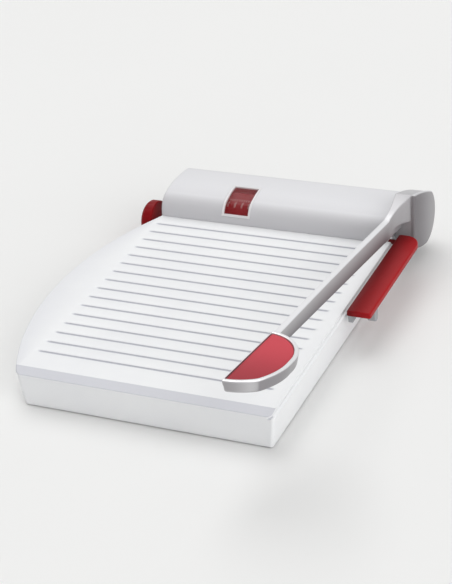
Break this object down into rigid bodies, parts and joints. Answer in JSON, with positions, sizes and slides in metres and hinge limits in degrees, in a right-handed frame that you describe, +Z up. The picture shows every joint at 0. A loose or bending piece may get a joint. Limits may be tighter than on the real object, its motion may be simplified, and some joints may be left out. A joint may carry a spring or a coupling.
{
  "type": "wire food slicer",
  "caption": "Table-top wire slicer: ribbed board, rear hood with a knob-set stop, and a hinged arm with a red-padded handle that draws a wire past the board's edge.",
  "frame": {"origin": "middle of the base's underside, on the closing plate; the rubber feet stand 0.8 mm proud below it", "axes": "+X to the right, towards the arm's side; +Y to the rear, towards the hood; +Z up"},
  "size_m": [0.2575, 0.3644, 0.0952],
  "materials": {
    "board_white": "satin moulded plastic",
    "hood_silver": "pale silver-white moulded plastic",
    "underside_grey": "matt moulded plastic",
    "foot_rubber": "matt rubber",
    "steel": "plain steel",
    "lens_red": "clear dark red plastic, polished",
    "border_pale": "satin pale plastic",
    "nylon": "plain moulded nylon",
    "arm_silver": "silver painted casting",
    "rim_silver": "satin silver",
    "cap_silver": "satin silver",
    "pad_red": "soft-touch red",
    "knob_red": "glossy dark red plastic",
    "stop_red": "glossy deep red plastic",
    "strip_white": "plain strip with marks"
  },
  "bodies": {
    "base": {"base_board": "board_white", "rear_housing": "hood_silver", "bottom_plate": "underside_grey", "rubber_feet": "foot_rubber", "bottom_screws": "steel", "window_lens": "lens_red", "window_frame": "border_pale", "guide_rod": "steel", "spindle_bearing_left": "nylon", "spindle_bearing_right": "nylon", "pivot_bracket": "nylon", "pivot_pin": "steel", "pivot_washers": "nylon"},
    "arm": {"arm_bar": "arm_silver", "handle_frame": "rim_silver", "handle_inset": "pad_red", "handle_screws": "steel", "cutting_wire": "steel", "wire_front_anchor": "steel", "wire_tension_screw": "steel", "hub_cap": "cap_silver"},
    "knob": {"thickness_knob": "knob_red", "spindle": "steel"},
    "stop": {"slice_stop": "stop_red", "stop_guide_pin": "steel", "carriage": "nylon", "carriage_screws": "steel", "scale_strip": "strip_white"}
  },
  "joints": [
    {"name": "arm_hinge", "type": "hinge", "parent": "base", "child": "arm", "pos_m": [0.1138, 0.136, 0.0272], "axis": [-1, 0, 0], "range_deg": [-9, 60]},
    {"name": "knob_turn", "type": "hinge", "parent": "base", "child": "knob", "pos_m": [-0.0965, 0.096, 0.0182], "axis": [1, 0, 0], "range_deg": [0, 324]},
    {"name": "stop_slide", "type": "slide", "parent": "base", "child": "stop", "axis": [1, 0, 0], "range_m": [0, 0.009]}
  ],
  "couplings": [
    {"joint": "stop_slide", "follows": "knob_turn", "m_per_rad": 0.00159}
  ]
}
